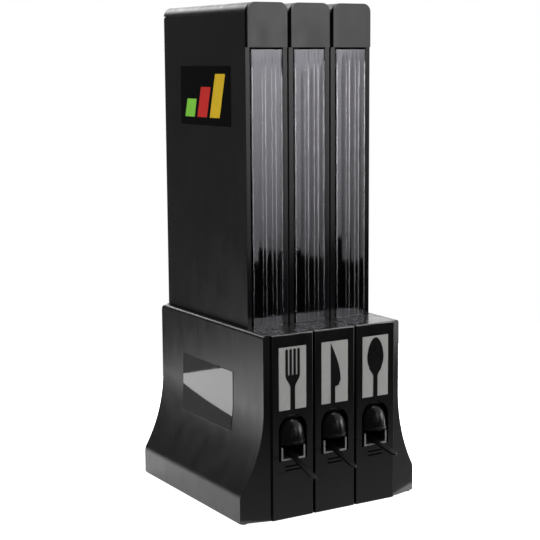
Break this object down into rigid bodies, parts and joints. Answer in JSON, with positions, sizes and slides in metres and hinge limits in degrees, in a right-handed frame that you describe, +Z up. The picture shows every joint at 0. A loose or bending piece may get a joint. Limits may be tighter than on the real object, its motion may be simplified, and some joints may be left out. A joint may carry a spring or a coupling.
{
  "type": "cutlery dispenser",
  "caption": "Free-standing cutlery dispenser: clear-fronted hoppers with hinged lids over a flared base, and push levers that release forks, knives and spoons handle first.",
  "frame": {"origin": "bottom centre of the whole object's box, on the table under the feet", "axes": "+Z up, front with the levers faces -Y, +X to the right of someone facing the levers"},
  "size_m": [0.263, 0.3284, 0.6332],
  "materials": {
    "body_black": "moulded black ABS, fine texture, semi-gloss",
    "inner_black": "moulded black ABS, plain",
    "lever_black": "polished black ABS",
    "cutlery_black": "glossy black polystyrene",
    "clear_plastic": "clear extruded acrylic with ribs",
    "label_grey": "grey printed plate, satin",
    "symbol_black": "raised black symbol",
    "badge_black": "glossy black panel with plain coloured bars",
    "side_label_grey": "glossy grey film",
    "steel": "bright zinc",
    "foot_rubber": "black rubber"
  },
  "bodies": {
    "housing": {"base_plate": "inner_black", "left_side_cover": "body_black", "right_side_cover": "body_black", "rear_cover": "body_black", "partition_1": "inner_black", "partition_2": "inner_black", "partition_3": "inner_black", "partition_4": "inner_black", "tower_badge": "badge_black", "base_label": "side_label_grey", "feet": "foot_rubber", "cover_screws": "steel", "fork_hopper": "body_black", "fork_window": "clear_plastic", "fork_lid_pin": "steel", "fork_front_cover": "body_black", "fork_lower_cover": "body_black", "fork_label_plate": "label_grey", "fork_symbol": "symbol_black", "fork_lever_pin": "steel", "fork_lever_spring": "steel", "fork_guide_tray": "inner_black", "fork_chute": "inner_black", "knife_hopper": "body_black", "knife_window": "clear_plastic", "knife_lid_pin": "steel", "knife_front_cover": "body_black", "knife_lower_cover": "body_black", "knife_label_plate": "label_grey", "knife_symbol": "symbol_black", "knife_lever_pin": "steel", "knife_lever_spring": "steel", "knife_guide_tray": "inner_black", "knife_chute": "inner_black", "spoon_hopper": "body_black", "spoon_window": "clear_plastic", "spoon_lid_pin": "steel", "spoon_front_cover": "body_black", "spoon_lower_cover": "body_black", "spoon_label_plate": "label_grey", "spoon_symbol": "symbol_black", "spoon_lever_pin": "steel", "spoon_lever_spring": "steel", "spoon_guide_tray": "inner_black", "spoon_chute": "inner_black"},
    "fork_lid_body": {"fork_lid": "body_black"},
    "fork_lever_body": {"fork_lever": "lever_black"},
    "fork_shuttle_body": {"fork_shuttle": "inner_black"},
    "fork_piece_body": {"fork_piece": "cutlery_black"},
    "knife_lid_body": {"knife_lid": "body_black"},
    "knife_lever_body": {"knife_lever": "lever_black"},
    "knife_shuttle_body": {"knife_shuttle": "inner_black"},
    "knife_piece_body": {"knife_piece": "cutlery_black"},
    "spoon_lid_body": {"spoon_lid": "body_black"},
    "spoon_lever_body": {"spoon_lever": "lever_black"},
    "spoon_shuttle_body": {"spoon_shuttle": "inner_black"},
    "spoon_piece_body": {"spoon_piece": "cutlery_black"}
  },
  "joints": [
    {"name": "fork_lid_hinge", "type": "hinge", "parent": "housing", "child": "fork_lid_body", "pos_m": [-0.062, 0.1538, 0.6135], "axis": [-1, 0, 0], "range_deg": [0, 90]},
    {"name": "fork_lever_pivot", "type": "hinge", "parent": "housing", "child": "fork_lever_body", "pos_m": [-0.062, -0.1052, 0.1305], "axis": [1, 0, 0], "range_deg": [0, 12], "stiffness_Nm_per_rad": 0.08, "springref_deg": -20.05, "deforming": ["fork_lever_spring"]},
    {"name": "fork_shuttle_slide", "type": "slide", "parent": "housing", "child": "fork_shuttle_body", "axis": [0, -1, 0], "range_m": [0, 0.008]},
    {"name": "fork_piece_slide", "type": "slide", "parent": "housing", "child": "fork_piece_body", "axis": [0, -0.9703, -0.2419], "range_m": [0, 0.12]},
    {"name": "knife_lid_hinge", "type": "hinge", "parent": "housing", "child": "knife_lid_body", "pos_m": [0, 0.1538, 0.6135], "axis": [-1, 0, 0], "range_deg": [0, 90]},
    {"name": "knife_lever_pivot", "type": "hinge", "parent": "housing", "child": "knife_lever_body", "pos_m": [0, -0.1052, 0.1305], "axis": [1, 0, 0], "range_deg": [0, 12], "stiffness_Nm_per_rad": 0.08, "springref_deg": -20.05, "deforming": ["knife_lever_spring"]},
    {"name": "knife_shuttle_slide", "type": "slide", "parent": "housing", "child": "knife_shuttle_body", "axis": [0, -1, 0], "range_m": [0, 0.008]},
    {"name": "knife_piece_slide", "type": "slide", "parent": "housing", "child": "knife_piece_body", "axis": [0, -0.9703, -0.2419], "range_m": [0, 0.12]},
    {"name": "spoon_lid_hinge", "type": "hinge", "parent": "housing", "child": "spoon_lid_body", "pos_m": [0.062, 0.1538, 0.6135], "axis": [-1, 0, 0], "range_deg": [0, 90]},
    {"name": "spoon_lever_pivot", "type": "hinge", "parent": "housing", "child": "spoon_lever_body", "pos_m": [0.062, -0.1052, 0.1305], "axis": [1, 0, 0], "range_deg": [0, 12], "stiffness_Nm_per_rad": 0.08, "springref_deg": -20.05, "deforming": ["spoon_lever_spring"]},
    {"name": "spoon_shuttle_slide", "type": "slide", "parent": "housing", "child": "spoon_shuttle_body", "axis": [0, -1, 0], "range_m": [0, 0.008]},
    {"name": "spoon_piece_slide", "type": "slide", "parent": "housing", "child": "spoon_piece_body", "axis": [0, -0.9703, -0.2419], "range_m": [0, 0.12]}
  ],
  "couplings": [
    {"joint": "fork_shuttle_slide", "follows": "fork_lever_pivot", "m_per_rad": 0.037302},
    {"joint": "knife_shuttle_slide", "follows": "knife_lever_pivot", "m_per_rad": 0.037302},
    {"joint": "spoon_shuttle_slide", "follows": "spoon_lever_pivot", "m_per_rad": 0.037302}
  ]
}
